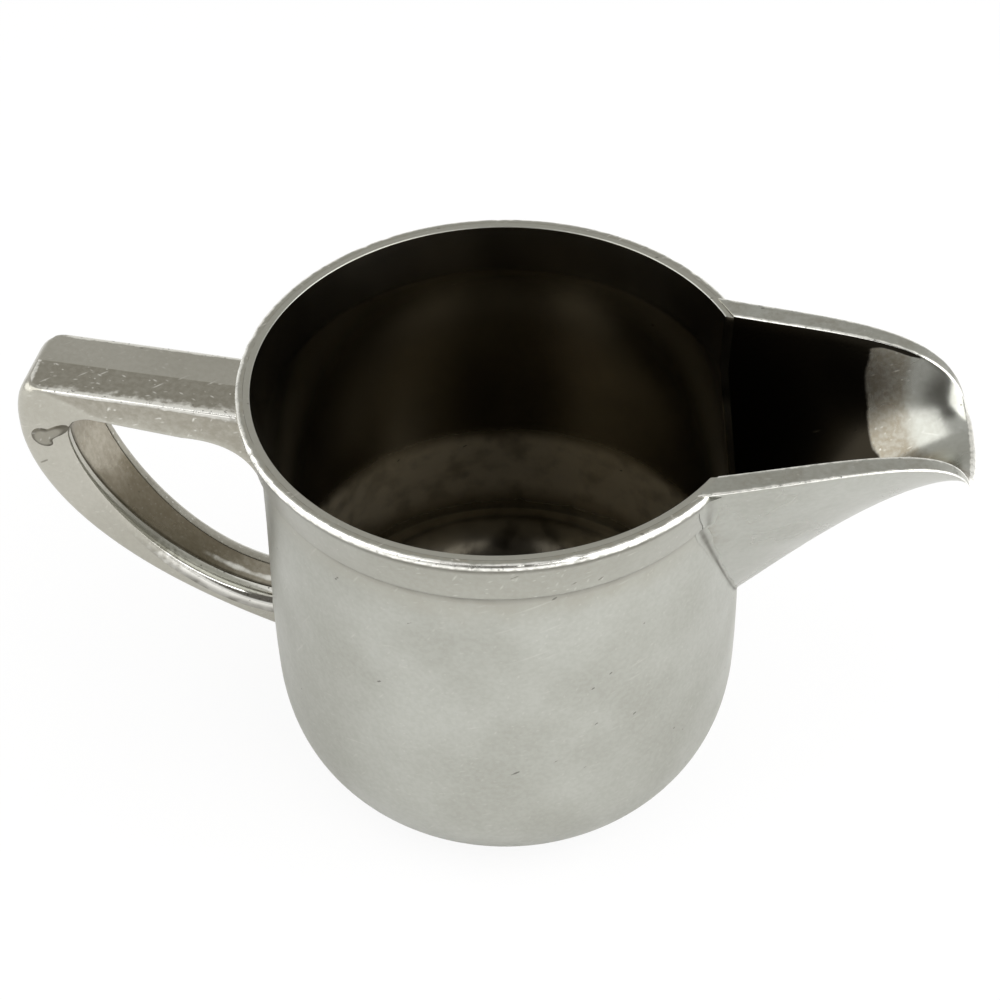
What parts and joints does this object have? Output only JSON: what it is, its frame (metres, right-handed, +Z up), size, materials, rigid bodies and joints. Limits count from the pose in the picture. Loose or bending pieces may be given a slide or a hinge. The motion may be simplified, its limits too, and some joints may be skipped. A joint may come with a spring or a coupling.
{
  "type": "creamer",
  "caption": "Small round metal cream jug with a flared rim collar, an open vee-shaped pouring spout and a hollow loop handle with a flat thumb bar.",
  "frame": {"origin": "centre of the flat base, on the body's turning axis", "axes": "+Z up along the body's turning axis, +X towards the spout, the handle towards -X"},
  "size_m": [0.1414, 0.076, 0.0747],
  "materials": {
    "satin_silver": "satin worn silver plate over nickel silver, dark tarnish inside",
    "worn_silver": "silver plate rubbed bright along its edges, scratched",
    "tarnished_silver": "brownish tarnished silver plate",
    "dull_solder": "dull grey solder"
  },
  "bodies": {
    "root": {"body_shell": "satin_silver", "rim_collar": "worn_silver", "spout_shell": "satin_silver", "spout_solder": "dull_solder", "handle_shell": "worn_silver", "handle_inner_strip": "tarnished_silver", "handle_upper_solder": "dull_solder", "handle_lower_solder": "dull_solder", "handle_solder_patch": "dull_solder"}
  },
  "joints": []
}
